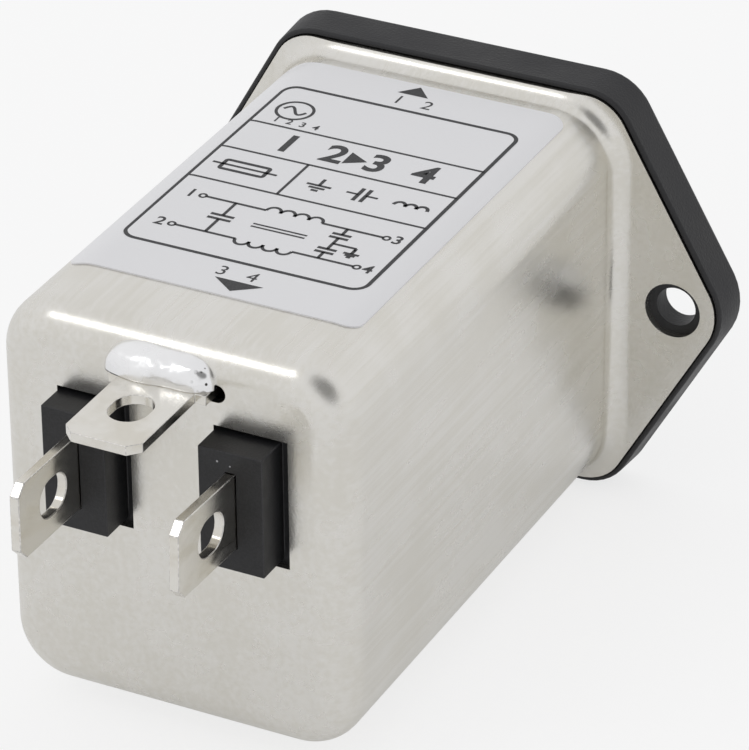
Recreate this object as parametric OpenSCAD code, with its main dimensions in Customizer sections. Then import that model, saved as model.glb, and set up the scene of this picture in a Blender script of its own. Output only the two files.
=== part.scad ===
// EMI line filter: a mains inlet and a choke filter in a drawn metal can.
// Build axes: x across the ears, y up, z out of the inlet. The flange's rear
// face is z = 0 and the can reaches back to z = -can_depth. The finished
// filter is turned so that its can points along +Y with its label on top.

/* [Can] */
// Outside height of the can
can_h = 33.6; // [33:0.2:38]
// Depth of the can behind the flange
can_depth = 47.4; // [46:0.2:70]
// Thickness of the plated sheet
sheet = 0.7; // [0.5:0.1:0.9]
// Outside radius of the can's four long edges
edge_r = 4.9; // [4:0.1:6]
// Outside radius of the bend into the end wall
end_r = 2.9; // [2:0.1:3.5]
// Radius of the flare into the flange
flare_r = 1.6; // [1:0.1:2]

/* [Flange] */
// Distance between the two mounting holes
hole_spacing = 40; // [39:0.5:46]
// Diameter of the clearance holes in the sheet flange
flange_hole_d = 4.8; // [4:0.1:5.6]
// Radius of the two ears
ear_r = 4.5; // [4:0.1:5]
// Distance from a mounting hole to the tip of its ear
ear_edge = 3.65; // [3.4:0.05:5]
// Height of the flange above the can's top, and below its bottom
flange_lip = 0.85; // [0.5:0.05:2]
// Radius of the four corners at the top and bottom
corner_r = 3.8; // [3:0.1:4.5]
// Distance from the can's sides in to the centres of those corners
corner_in = 2.7; // [2.2:0.1:3.5]

/* [Bezel] */
// Thickness of the moulded bezel, from its rim to its face
bezel_t = 3.9; // [3.5:0.1:6]
// Distance that the bezel's rim reaches past the sheet flange
bezel_lip = 0.5; // [0.4:0.05:1.5]
// Growth of the bezel from its rim to its face
bezel_draft = 0.2; // [0:0.05:0.4]
// Radius round the bezel's face
face_r = 0.5; // [0.3:0.1:1]
// Chamfer round the bezel's rim
rim_chamfer = 0.15; // [0.05:0.05:0.3]
// Distance that the sheet flange stands proud of the bezel's rim
flange_proud = 0.2; // [0.1:0.05:0.3]
// Clearance round the sheet flange in its pocket
pocket_gap = 0.1; // [0.05:0.05:0.2]
// Diameter of the screw holes
screw_d = 3.4; // [3:0.1:4.2]
// Diameter of the screws' countersinks
head_d = 6.2; // [5.5:0.1:7]
// Depth of the spigot in the can's mouth
spigot_l = 4.5; // [3:0.5:8]
// Wall of the spigot
spigot_t = 1.2; // [0.8:0.1:1.6]
// Clearance round the spigot
spigot_gap = 0.1; // [0.05:0.05:0.2]

/* [Socket] */
// Gap between the socket's side walls and the liner, which sets the can's width
socket_gap = 0.2; // [0.1:0.1:2]
// Width of the socket's recess
socket_w = 24.2; // [23.8:0.1:24.6]
// Height of the socket's recess
socket_h = 16.6; // [16:0.1:17]
// Depth of the socket's recess
socket_depth = 16.5; // [15:0.5:20]
// Wall round the recess
socket_t = 1.5; // [1.2:0.1:1.7]
// Wall behind the recess
socket_back = 1.6; // [1.2:0.1:3]
// Corners cut off at the earth side
socket_cut = 4.4; // [3.5:0.1:5]
// Radius of the two whole corners
socket_r = 2; // [1:0.1:2.5]
// Radius of the cut corners' edges
cut_r = 0.8; // [0.5:0.1:1]
// Chamfer round the recess's mouth
mouth_chamfer = 0.5; // [0.2:0.1:0.8]

/* [Inlet pins] */
// Distance between the line pin and the neutral pin
pin_pitch = 14; // [13.5:0.1:14.5]
// Height of the earth pin above the other two
earth_rise = 4; // [3.5:0.1:4.5]
// Height of a pin's section
pin_w = 4; // [3.8:0.1:4.2]
// Thickness of a pin's section
pin_t = 2; // [1.8:0.1:2.2]
// Distance from the bezel's face down to the line pin's tip
pin_below = 3.2; // [2:0.1:5]
// Lead of the earth pin ahead of the other two
earth_lead = 1; // [0.5:0.1:1.5]
// Taper at a pin's tip
pin_taper = 1.2; // [0.6:0.1:1.6]
// Thickness of the collar behind the socket
collar_t = 0.8; // [0.6:0.1:1.2]
// Width of the collar round a pin
collar_w = 0.4; // [0.3:0.1:0.6]
// Length of a pin's solder tail
pin_tail = 5; // [4.6:0.1:5]
// Thickness of a pin's solder tail
tail_t = 0.8; // [0.6:0.1:1]
// Height of a pin's solder tail
tail_w = 2.4; // [2:0.1:3]
// Diameter of the eye in a pin's tail
eye_d = 1.1; // [0.8:0.1:1.4]

/* [Load terminals] */
// Distance between the line tab and the neutral tab
tab_pitch = 13.2; // [12.8:0.1:13.6]
// Height of those two tabs above the can's axis
tab_rise = 5.1; // [4.5:0.1:5.5]
// Width of a tab
tab_w = 6.35; // [6.2:0.05:6.5]
// Thickness of a tab
tab_t = 0.8; // [0.7:0.05:0.9]
// Reach of the line and neutral tabs beyond the end wall
tab_out = 11.2; // [9:0.1:14]
// Lean of the line tab in its slot, in degrees
line_lean = 1; // [0:0.2:2.4]
// Lean of the neutral tab in its slot, in degrees
neutral_lean = 2.4; // [0:0.2:2.4]
// Width of the corners cut off a tab's tip
tip_cut = 0.9; // [0.5:0.1:1.2]
// Width of the oblong hole in a tab
tab_hole_w = 3.1; // [2.6:0.1:3.4]
// Length of the oblong hole in a tab
tab_hole_l = 3.9; // [3.6:0.1:4.6]
// Distance from a tab's tip to the middle of its hole
tab_hole_in = 4.9; // [4.4:0.1:5.5]
// Width of a tab's shoulder
shoulder_w = 8.2; // [7.6:0.1:9]
// Length of a tab's shoulder behind the carrier
shoulder_l = 1; // [0.6:0.1:1.4]
// Length of a tab's inner tail
tab_tail = 4.2; // [3.8:0.1:6]
// Width of a tab's inner tail
tab_tail_w = 4; // [3.4:0.1:4.6]
// Thickness of the terminal carrier behind the end wall
carrier_t = 2; // [1.5:0.1:3]
// Margin of the carrier round its posts
carrier_rim = 1.2; // [0.8:0.1:1.4]
// Width of a post
post_w = 5.3; // [5:0.1:5.6]
// Height of a post
post_h = 10.1; // [9.5:0.1:10.3]
// Reach of a post beyond the end wall
post_out = 2.5; // [1.5:0.1:4]
// Slack between a post and the edges of its opening
opening_gap = 0.4; // [0.2:0.05:0.4]
// Clearance of a tab or pin in its slot
fit = 0.05; // [0.02:0.01:0.08]

/* [Earth tab] */
// Height of the earth tab above the can's axis
earth_y = 13.25; // [13:0.05:13.5]
// Reach of the earth tab beyond the end wall
earth_out = 10; // [9:0.1:12]
// Reach of its wide root beyond the end wall
root_out = 1.3; // [0.8:0.1:2]
// Length of the slot that it passes
slot_w = 10; // [9.2:0.1:10.5]
// Height of that slot
slot_h = 1.5; // [1.3:0.05:1.6]
// Length of the solder bead over the tab
solder_w = 8.6; // [7:0.1:9]
// Height of the solder bead up the wall
solder_h = 2.2; // [1.5:0.1:2.4]
// Bulge of the solder bead out of the wall
solder_out = 1.5; // [1:0.1:2]

/* [Label] */
// Width of the label, square across the can
label_w = 24.6; // [20:0.1:25]
// Distance from the can's flare to the label
label_off = 1.1; // [0.5:0.1:4]
// Offset of the label across the can
label_x = 0.4; // [0:0.1:0.6]
// Distance from the end wall to the label
label_in = 7.5; // [6:0.1:8]
// Thickness of the label
label_t = 0.12; // [0.08:0.01:0.2]
// Radius of the label's corners
label_r = 1.4; // [0.8:0.1:2.5]

/* [Choke] */
// Height of the ring core
core_h = 8; // [6:0.5:10]
// Diameter of the core's hole
core_hole_d = 14; // [13:0.1:15]
// Radius round the core's edges
core_edge_r = 1; // [0.8:0.1:1.4]
// Diameter of the winding wire
wire_d = 0.9; // [0.7:0.05:1]
// Turns of each winding
turns = 9; // [6:1:10]
// Angle of the core that each winding covers
winding_angle = 124; // [110:1:130]
// Slack between the windings and the liner
coil_gap = 0.05; // [0.02:0.01:0.2]
// Room beside the windings for their leads
lead_gap = 1.2; // [1.15:0.05:1.6]
// Thickness of the divider in the core's hole
divider_t = 1; // [0.8:0.1:1.6]
// Thickness of the insulating liner
liner_t = 0.3; // [0.2:0.05:0.4]

/* [Small parts] */
// Width of the line-to-neutral capacitor
x_cap_w = 18; // [17:0.1:18.4]
// Height of that capacitor
x_cap_h = 11; // [10:0.1:11.2]
// Thickness of that capacitor
x_cap_t = 6; // [5:0.1:6.4]
// Radius of its edges
x_cap_r = 0.6; // [0.3:0.1:1]
// Diameter of the capacitors' and resistor's leads
lead_d = 0.6; // [0.5:0.05:0.7]
// Diameter of a disc capacitor
y_cap_d = 6.6; // [6:0.1:7]
// Thickness of a disc capacitor
y_cap_t = 2.6; // [2:0.1:3]
// Distance of a disc capacitor from the middle of the can
y_cap_x = 3.2; // [3:0.1:3.4]
// Height of a disc capacitor's middle above the can's axis
y_cap_y = 8.2; // [8:0.1:8.4]
// Distance between a disc capacitor and the carrier
y_cap_in = 2; // [1.6:0.1:3]
// Diameter of the discharge resistor
resistor_d = 2.4; // [2:0.1:2.6]
// Length of the discharge resistor
resistor_l = 6.4; // [6:0.1:7]
// Diameter of the earth wire's insulation
earth_wire_d = 1.8; // [1.4:0.1:1.9]
// Diameter of the earth wire's conductor
earth_core_d = 0.8; // [0.6:0.05:0.9]

/* [Hidden] */
$fn = 64;
tiny = 0.01;

// Can and flange
can_w = socket_w + 2 * (socket_t + socket_gap + liner_t + sheet);
ear_x = hole_spacing / 2 + ear_edge - ear_r;
corner_x = can_w / 2 - corner_in;
corner_y = can_h / 2 + flange_lip - corner_r;
rim_z = flange_proud;
face_z = rim_z + bezel_t;

// Inside of the can
in_w = can_w - 2 * sheet;
in_h = can_h - 2 * sheet;
in_r = edge_r - sheet;
end_z = -can_depth;
wall_z = end_z + sheet;
carrier_z = wall_z + carrier_t;

// Socket and inlet pins
socket_floor = face_z - socket_depth;
socket_rear = socket_floor - socket_back;
collar_z = socket_rear - collar_t;
pin_end = collar_z - pin_tail;
pin_low = -earth_rise / 2;

// Load terminals
tab_z = carrier_z + shoulder_l + tab_tail;
post_x = tab_pitch / 2;
label_l = can_depth - label_in - flare_r - label_off;
earth_top = earth_y + tab_t / 2;
solder_in = solder_out / 2;

// Choke, stacked behind the capacitor
liner_y = in_h / 2 - liner_t;
x_cap_rear = socket_rear - x_cap_t;
core_r = in_w / 2 - liner_t - wire_d - coil_gap;
core_hole_r = core_hole_d / 2;
coil_front = x_cap_rear - lead_gap;
coil_h = core_h + 2 * wire_d;
coil_z = coil_front - coil_h / 2;
coil_rear = coil_front - coil_h;
lead_front = (x_cap_rear + coil_front) / 2;
lead_rear = coil_rear - lead_gap + wire_d / 2;
core_mid_r = (core_r + core_hole_r) / 2;
turn_u = (core_r - core_hole_r + wire_d) / 2;
turn_v = (core_h + wire_d) / 2;
turn_corner = wire_d;
lead_turn = 0.2;
pin_face = pin_pitch / 2 + tail_t / 2;
tab_face = tab_pitch / 2 + tab_t / 2;

// Disc capacitors
y_cap_z = carrier_z + y_cap_in + y_cap_d / 2;
y_lead_z = carrier_z + shoulder_l + tab_tail * 0.6;

// ---- Outlines made of circles joined by common tangents ----

function dir(a) = [cos(a), sin(a)];
function tangent_dir(a, b) =
    atan2(b.y - a.y, b.x - a.x) - acos((a.z - b.z) / norm([b.x - a.x, b.y - a.y]));
function after(cs, i) = cs[(i + 1) % len(cs)];
function side_dir(cs, i) = tangent_dir(cs[i], after(cs, i));
function grown(cs, by) = [for (c = cs) [c.x, c.y, c.z + by]];

module outline(cs) {
    polygon([for (i = [0:len(cs) - 1], c = [cs[i], after(cs, i)])
        [c.x, c.y] + c.z * dir(side_dir(cs, i))]);
    for (c = cs) translate([c.x, c.y]) circle(r = c.z);
}

function ring6(x1, y1, r1, x2, y2, r2) =
    [[x1, y1, r1], [x2, y2, r2], [-x2, y2, r2], [-x1, y1, r1], [-x2, -y2, r2], [x2, -y2, r2]];
flange_ring = ring6(ear_x, 0, ear_r, corner_x, corner_y, corner_r);
cut_lean = cut_r * tan(22.5);
socket_ring = [
    [socket_w / 2 - socket_r, -socket_h / 2 + socket_r, socket_r],
    [socket_w / 2 - cut_r, socket_h / 2 - socket_cut - cut_lean, cut_r],
    [socket_w / 2 - socket_cut - cut_lean, socket_h / 2 - cut_r, cut_r],
    [-socket_w / 2 + socket_cut + cut_lean, socket_h / 2 - cut_r, cut_r],
    [-socket_w / 2 + cut_r, socket_h / 2 - socket_cut - cut_lean, cut_r],
    [-socket_w / 2 + socket_r, -socket_h / 2 + socket_r, socket_r]];

// ---- Drawn box forms ----

module rounded_rect(w, h, r) {
    square([w - 2 * r, h], center = true);
    square([w, h - 2 * r], center = true);
    for (sx = [-1, 1], sy = [-1, 1]) translate([sx * (w / 2 - r), sy * (h / 2 - r)]) circle(r = r);
}

module stadium(w, h) {
    square([w - h, h], center = true);
    for (s = [-1, 1]) translate([s * (w - h) / 2, 0]) circle(d = h);
}

module slab(from, to) {
    translate([0, 0, from]) linear_extrude(to - from) children();
}

// A box with round long edges and a round edge about its far end
module drawn_form(w, h, r, far_r, far, near) {
    slab(far + far_r, near) rounded_rect(w, h, r);
    translate([0, 0, far + far_r]) {
        rotate([90, 0, 90]) linear_extrude(w - 2 * r, center = true) stadium(h, 2 * far_r);
        rotate([90, 0, 0]) linear_extrude(h - 2 * r, center = true) stadium(w, 2 * far_r);
        for (sx = [-1, 1], sy = [-1, 1]) translate([sx * (w / 2 - r), sy * (h / 2 - r), 0])
            rotate_extrude() intersection() {
                stadium(2 * r, 2 * far_r);
                translate([0, -far_r]) square([r, 2 * far_r]);
            }
    }
}

// Sweeps a section round a box form. In the section, x = 0 is the box's wall.
module around_box(w, h, r) {
    for (sx = [-1, 1], sy = [-1, 1]) translate([sx * (w / 2 - r), sy * (h / 2 - r), 0])
        rotate_extrude() translate([r, 0]) children();
    for (s = [0, 180]) rotate([0, 0, s]) {
        translate([w / 2, h / 2 - r, 0]) rotate([90, 0, 0]) linear_extrude(h - 2 * r) children();
        translate([-w / 2 + r, h / 2, 0]) rotate([90, 0, 90])
            linear_extrude(w - 2 * r) children();
    }
}

// Hollow corner between two square faces, r from each
module cove(r) {
    difference() {
        translate([-tiny, -r]) square([r + tiny, r]);
        translate([r, -r]) circle(r = r);
    }
}

module can_outer() {
    drawn_form(can_w, can_h, edge_r, end_r, end_z, 0);
}

module post_opening(x) {
    translate([x - opening_gap, tab_rise, 0])
        square([post_w + 2 * opening_gap, post_h + 2 * opening_gap], center = true);
}

// Drawn can with its flared mouth, sheet flange and pierced end wall
module can() {
    color([0.80, 0.78, 0.74]) difference() {
        intersection() {
            slab(end_z - 1, sheet) outline(flange_ring);
            union() {
                can_outer();
                around_box(can_w, can_h, edge_r) cove(flare_r);
                slab(0, sheet) outline(flange_ring);
            }
        }
        drawn_form(in_w, in_h, in_r, end_r - sheet, wall_z, sheet + 1);
        translate([0, 0, sheet]) around_box(in_w, in_h, in_r) cove_cut(flare_r + sheet);
        slab(end_z - 1, wall_z + 1) {
            post_opening(-post_x);
            post_opening(post_x);
            translate([0, earth_y]) stadium(slot_w, slot_h);
        }
        for (s = [-1, 1]) translate([s * hole_spacing / 2, 0, -1])
            cylinder(d = flange_hole_d, h = sheet + 2);
    }
}

// What is cut away to round an inner edge by r
module cove_cut(r) {
    difference() {
        translate([-tiny, -r]) square([r + tiny, r + 1]);
        translate([r, -r]) circle(r = r);
    }
}

// Bezel's body, from its chamfered rim to its rounded face
module bezel_body(rim_ring) {
    $fn = 40;
    hull() {
        slab(rim_z, rim_z + tiny) outline(grown(rim_ring, -rim_chamfer));
        slab(rim_z + rim_chamfer, rim_z + rim_chamfer + tiny) outline(rim_ring);
        for (a = [0:18:90])
            slab(face_z - face_r * (1 - sin(a)) - tiny, face_z - face_r * (1 - sin(a)))
                outline(grown(rim_ring, bezel_draft - face_r * (1 - cos(a))));
    }
}

module spigot() {
    w = in_w - 2 * spigot_gap;
    h = in_h - 2 * spigot_gap;
    slab(-spigot_l, sheet + tiny) difference() {
        rounded_rect(w, h, in_r - spigot_gap);
        rounded_rect(w - 2 * spigot_t, h - 2 * spigot_t, in_r - spigot_gap - spigot_t);
    }
}

module pin_places(by = 0) {
    for (s = [-1, 1]) translate([s * pin_pitch / 2, pin_low, 0]) children();
    translate([0, -pin_low, 0]) children();
}

// Black moulding: bezel, spigot, socket and countersunk screw holes
module inlet_moulding() {
    rim_ring = grown(flange_ring, bezel_lip);
    color([0.12, 0.12, 0.13]) difference() {
        union() {
            difference() {
                bezel_body(rim_ring);
                slab(rim_z - 1, sheet) outline(grown(flange_ring, pocket_gap));
            }
            spigot();
            slab(socket_rear, sheet + tiny) outline(grown(socket_ring, socket_t));
        }
        slab(socket_floor, face_z + 1) outline(socket_ring);
        for (s = [0, 0.5, 1])
            translate([0, 0, face_z - mouth_chamfer * (1 - s)])
                linear_extrude(1) outline(grown(socket_ring, mouth_chamfer * s));
        slab(socket_rear - 1, socket_floor + 1) pin_places()
            square([pin_t + 2 * fit, pin_w + 2 * fit], center = true);
        for (s = [-1, 1]) translate([s * hole_spacing / 2, 0, 0]) {
            cylinder(d = screw_d, h = face_z + 1);
            translate([0, 0, face_z - (head_d - screw_d) / 2])
                cylinder(d1 = screw_d, d2 = head_d + 2, h = (head_d - screw_d) / 2 + 1);
        }
    }
}

// Section of a pin or tab, tapered at its tip, running from z = 0 up
module tapered(w, l, taper, cut) {
    polygon([[-w / 2, 0], [w / 2, 0], [w / 2, l - taper], [w / 2 - cut, l],
             [-w / 2 + cut, l], [-w / 2, l - taper]]);
}

// Inlet pin with a collar behind the socket and a solder tail with an eye
module inlet_pin(x, y, tip) {
    l = tip - socket_rear;
    color([0.82, 0.80, 0.74]) translate([x, y, 0]) {
        translate([0, 0, socket_rear]) intersection() {
            rotate([90, 0, 0]) linear_extrude(pin_w, center = true)
                tapered(pin_t, l, pin_taper, pin_t / 4);
            rotate([90, 0, 90]) linear_extrude(pin_t, center = true)
                tapered(pin_w, l, pin_taper, pin_w / 5);
        }
        slab(collar_z, socket_rear)
            square([pin_t + 2 * collar_w, pin_w + 2 * collar_w], center = true);
        difference() {
            slab(pin_end, collar_z) square([tail_t, tail_w], center = true);
            translate([-tail_t, 0, collar_z - eye_d * 1.2]) rotate([0, 90, 0])
                cylinder(d = eye_d, h = 2 * tail_t);
        }
    }
}

module line_pin() {
    inlet_pin(pin_pitch / 2, pin_low, face_z - pin_below);
}

module neutral_pin() {
    inlet_pin(-pin_pitch / 2, pin_low, face_z - pin_below);
}

module earth_pin() {
    inlet_pin(0, -pin_low, face_z - pin_below + earth_lead);
}

// Places a load tab: its middle is on the end wall's face, its tip leans up
module tab_place(x, lean) {
    translate([x, tab_rise, end_z]) rotate([lean, 0, 0]) translate([0, 0, -end_z]) children();
}

module tab_slot(x, lean) {
    tab_place(x, lean) slab(end_z - 2 * post_out, carrier_z + 1)
        square([tab_t + 2 * fit, tab_w + 2 * fit], center = true);
}

// Moulded plate behind the end wall, with two posts standing through it
module terminal_carrier() {
    color([0.16, 0.16, 0.17]) difference() {
        union() {
            slab(wall_z, carrier_z) translate([0, tab_rise])
                square([tab_pitch + post_w + 2 * carrier_rim, post_h + 2 * carrier_rim],
                       center = true);
            for (s = [-1, 1]) slab(end_z - post_out, carrier_z)
                translate([s * post_x, tab_rise]) square([post_w, post_h], center = true);
        }
        tab_slot(post_x, line_lean);
        tab_slot(-post_x, neutral_lean);
    }
}

// Flat blade with an oblong hole, drawn outwards from the end wall's face.
// The root is the wide part, from root_in inside to root_tip outside.
module blade(out, root_in, root_tip) {
    tail_end = tab_z - end_z;
    difference() {
        union() {
            translate([0, -root_in]) tapered(tab_w, out + root_in, tip_cut, tip_cut);
            translate([-shoulder_w / 2, -root_in]) square([shoulder_w, root_in + root_tip]);
            translate([-tab_tail_w / 2, -tail_end])
                square([tab_tail_w, tail_end - root_in + tiny]);
        }
        translate([0, out - tab_hole_in]) rotate(90) stadium(tab_hole_l, tab_hole_w);
        translate([0, -tail_end + tab_tail_w / 2]) circle(d = eye_d);
    }
}

// Turns a blade drawing to point out of the end wall
module from_wall() {
    translate([0, 0, end_z]) rotate([-90, 0, 0]) linear_extrude(tab_t, center = true) children();
}

module load_tab(x, lean) {
    seat = (carrier_z - end_z + shoulder_w / 2 * sin(lean)) / cos(lean);
    color([0.84, 0.81, 0.75]) tab_place(x, lean) rotate([0, 0, 90])
        from_wall() blade(tab_out, seat + shoulder_l, -seat);
}

module line_tab() {
    load_tab(post_x, line_lean);
}

module neutral_tab() {
    load_tab(-post_x, neutral_lean);
}

module earth_tab() {
    color([0.84, 0.81, 0.75]) translate([0, earth_y, 0])
        from_wall() blade(earth_out, sheet + shoulder_l, root_out);
}

// Solder bead along the earth tab, cut to the wall's and tab's faces
module solder_joint() {
    reach = solder_w / 2 - solder_h / 2;
    color([0.88, 0.88, 0.90]) difference() {
        hull() for (s = [-1, 1]) translate([s * reach, earth_top + solder_in, end_z])
            scale([1, (solder_h - solder_in) / solder_h * 2, solder_out / solder_h * 2])
                sphere(d = solder_h, $fn = 32);
        can_outer();
        translate([-slot_w, earth_top - 2 * solder_h, end_z - earth_out])
            cube([2 * slot_w, 2 * solder_h, 2 * earth_out]);
    }
}

// Label on the can's top, bent down over the two long edges
module label() {
    color([0.90, 0.90, 0.92]) intersection() {
        slab(end_z, 0) difference() {
            rounded_rect(can_w + 2 * label_t, can_h + 2 * label_t, edge_r + label_t);
            rounded_rect(can_w, can_h, edge_r);
        }
        translate([label_x, 0, end_z + label_in + label_l / 2]) rotate([-90, 0, 0])
            linear_extrude(can_h) rounded_rect(label_w, label_l, label_r);
    }
}

// Film sleeve against the can's inner walls
module insulating_liner() {
    color([0.90, 0.86, 0.72]) slab(end_z + end_r, -spigot_l) difference() {
        rounded_rect(in_w, in_h, in_r);
        rounded_rect(in_w - 2 * liner_t, in_h - 2 * liner_t, in_r - liner_t);
    }
}

// ---- Wires ----

function unit(v) = v / norm(v);
function tangent(p, i) = unit(p[min(i + 1, len(p) - 1)] - p[max(i - 1, 0)]);
function across(n, t) = unit(n - (n * t) * t);
function normals(p, i, n) = i == len(p) ? [] :
    let (m = across(n, tangent(p, i))) concat([m], normals(p, i + 1, m));
function wire_rings(p, r, sides, first) =
    let (n = normals(p, 0, first))
    [for (i = [0:len(p) - 1], k = [0:sides - 1])
        let (b = cross(tangent(p, i), n[i]), a = 360 * k / sides)
        p[i] + r * (cos(a) * n[i] + sin(a) * b)];

// Round wire swept along a path; first is any direction across its start
module wire(p, d, first = [0, 0, 1], sides = 8) {
    last = len(p) - 1;
    polyhedron(
        points = wire_rings(p, d / 2, sides, first),
        faces = concat(
            [[for (k = [0:sides - 1]) k]],
            [[for (k = [sides - 1:-1:0]) last * sides + k]],
            [for (i = [0:last - 1], k = [0:sides - 1])
                let (a = i * sides + k, b = i * sides + (k + 1) % sides)
                [a, a + sides, b + sides, b]]));
}

// Path whose inner corners are eased over r each way
function eased(p, r) = concat([p[0]],
    [for (i = [1:len(p) - 2], t = [0:0.25:1])
        let (a = p[i] + r * unit(p[i - 1] - p[i]), b = p[i] + r * unit(p[i + 1] - p[i]))
        (1 - t) * (1 - t) * a + 2 * t * (1 - t) * p[i] + t * t * b],
    [p[len(p) - 1]]);

// ---- Filter circuit ----

module ring_core_section() {
    w = core_r - core_hole_r;
    translate([core_mid_r, 0]) rounded_rect(w, core_h, core_edge_r);
}

module choke_core() {
    color([0.20, 0.30, 0.24]) translate([0, 0, coil_z]) rotate_extrude($fn = 96)
        ring_core_section();
}

// Board across the core's hole that keeps the two windings apart
module core_divider() {
    reach = sqrt(pow(core_hole_r, 2) - pow(divider_t / 2, 2));
    color([0.85, 0.80, 0.66]) slab(coil_rear - lead_gap, x_cap_rear)
        square([divider_t, 2 * reach], center = true);
}

// One turn's path about the core's section, from the outer front corner down
function turn_points() = [
    for (q = [[1, 1, 90], [1, -1, 0], [-1, -1, -90], [-1, 1, -180]], a = [0, 30, 60, 90])
        [q[0] * (turn_u - turn_corner) + turn_corner * cos(q[2] - a),
         q[1] * (turn_v - turn_corner) + turn_corner * sin(q[2] - a)]];
function on_ring(u, v, angle) =
    [(core_mid_r + u) * cos(angle), (core_mid_r + u) * sin(angle), coil_z + v];

// The coil's path: whole turns, then once more down the outside
function coil_path() =
    let (t = turn_points(), steps = turns * 16 + 4)
    [for (i = [0:steps])
        on_ring(t[i % 16][0], t[i % 16][1], winding_angle * (i / steps - 0.5))];

// From the line pin's tail, round the core, to the line tab's tail
function winding_path() =
    let (coil = coil_path(), n = len(coil), first = coil[0], last = coil[n - 1],
         out = [wire_d + lead_turn, 0, 0],
         pin = [pin_face, pin_low, pin_end + wire_d * 1.3],
         tab = [tab_face, tab_rise, carrier_z + shoulder_l + wire_d])
    concat(
        eased([pin, pin + out, [pin_face + out.x, pin_low, lead_front],
               [first.x, first.y + wire_d * 1.5, lead_front], first], wire_d),
        [for (i = [1:n - 3]) coil[i]],
        eased([coil[n - 2], [last.x, last.y, lead_rear], [tab_face + out.x, tab_rise, lead_rear],
               tab + out, tab], wire_d));

// Copper winding on the core's right half, with its leads to pin and tab
module line_winding() {
    color([0.72, 0.40, 0.20]) wire(winding_path(), wire_d, [0, 0, 1]);
}

module neutral_winding() {
    color([0.72, 0.40, 0.20]) mirror([1, 0, 0]) wire(winding_path(), wire_d, [0, 0, 1]);
}

// Box capacitor across line and neutral, standing on the liner behind the socket
module x_capacitor() {
    top = -liner_y + x_cap_h;
    lead_x = pin_face + lead_d / 2;
    lead_z = socket_rear - x_cap_t / 2;
    color([0.85, 0.70, 0.25]) translate([0, top - x_cap_h / 2, 0])
        slab(x_cap_rear, socket_rear) rounded_rect(x_cap_w, x_cap_h, x_cap_r);
    color([0.80, 0.80, 0.80]) for (s = [-1, 1]) translate([s * lead_x, top - tiny, lead_z])
        rotate([-90, 0, 0]) cylinder(d = lead_d, h = pin_low + tail_w / 2 - top, $fn = 24);
}

// Straight round lead between two points, with a round end at each
module lead(a, b) {
    v = b - a;
    translate(a) rotate([0, acos(v.z / norm(v)), atan2(v.y, v.x)])
        cylinder(d = lead_d, h = norm(v), $fn = 24);
    translate(a) sphere(d = lead_d, $fn = 24);
}

// Disc capacitor from a load tab's tail to the earth tab's tail
module y_capacitor() {
    low = tab_rise - tab_tail_w / 4;
    high = earth_y - tab_t / 2 - lead_d;
    inner_x = tab_tail_w / 2 - lead_d;
    color([0.20, 0.40, 0.72]) translate([y_cap_x, y_cap_y, y_cap_z]) rotate([0, 90, 0])
        rotate_extrude($fn = 48) intersection() {
            translate([-y_cap_d / 2, -y_cap_t / 2])
                translate([y_cap_d / 2, y_cap_t / 2]) rounded_rect(y_cap_d, y_cap_t, y_cap_t / 3);
            translate([0, -y_cap_t]) square([y_cap_d, 2 * y_cap_t]);
        }
    color([0.80, 0.80, 0.80]) {
        lead([y_cap_x, low, y_lead_z], [y_cap_x, y_cap_y, y_lead_z]);
        lead([y_cap_x, low, y_lead_z], [tab_pitch / 2 - tab_t / 2, low, y_lead_z]);
        lead([y_cap_x, high, y_lead_z], [y_cap_x, y_cap_y, y_lead_z]);
        lead([inner_x, high, y_lead_z], [y_cap_x, high, y_lead_z]);
        lead([inner_x, high, y_lead_z], [inner_x, high + lead_d, y_lead_z]);
    }
}

module line_y_capacitor() {
    y_capacitor();
}

module neutral_y_capacitor() {
    mirror([1, 0, 0]) y_capacitor();
}

// Resistor between the line and neutral pins' tails
module discharge_resistor() {
    span = pin_pitch - tail_t;
    z = pin_end + tail_w * 0.8;
    color([0.35, 0.60, 0.75]) translate([0, pin_low, z]) rotate([0, 90, 0]) {
        cylinder(d = resistor_d * 0.8, h = resistor_l, center = true, $fn = 32);
        for (s = [-1, 1]) translate([0, 0, s * resistor_l * 0.36])
            cylinder(d = resistor_d, h = resistor_l * 0.28, center = true, $fn = 32);
    }
    color([0.80, 0.80, 0.80]) translate([0, pin_low, z]) rotate([0, 90, 0])
        cylinder(d = lead_d, h = span, center = true, $fn = 24);
}

// Insulated wire from the earth pin's tail, over the choke, to the earth tab
module earth_wire() {
    pin = [tail_t / 2, -pin_low, collar_z - tail_w];
    out = [earth_core_d + lead_turn, 0, 0];
    over = (core_r + liner_y) / 2;
    bare = pin + out + [0, tail_w / 2, 0];
    down = [0, over, tab_z + lead_turn];
    end = [0, over, tab_z - wire_d * 3];
    path = concat(
        eased([pin, pin + out, bare], earth_core_d * 0.7),
        eased([bare + [0, earth_core_d, 0], [bare.x, over, pin.z], [0, over, coil_front], down],
              earth_wire_d * 0.8),
        eased([(down + end) / 2, end, [0, earth_top, end.z]], earth_core_d * 0.7));
    color([0.80, 0.45, 0.25]) wire(path, earth_core_d, [0, 0, 1]);
    color([0.35, 0.62, 0.22]) wire([for (i = [6:18]) path[i]], earth_wire_d, [0, 0, 1], 12);
}

// Turns the filter so that its can points along +Y and its top is up
module placed() {
    rotate([90, 0, 0]) children();
}

placed() can();
placed() inlet_moulding();
placed() line_pin();
placed() neutral_pin();
placed() earth_pin();
placed() terminal_carrier();
placed() line_tab();
placed() neutral_tab();
placed() earth_tab();
placed() solder_joint();
placed() label();
placed() insulating_liner();
placed() x_capacitor();
placed() line_y_capacitor();
placed() neutral_y_capacitor();
placed() discharge_resistor();
placed() choke_core();
placed() core_divider();
placed() line_winding();
placed() neutral_winding();
placed() earth_wire();
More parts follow.
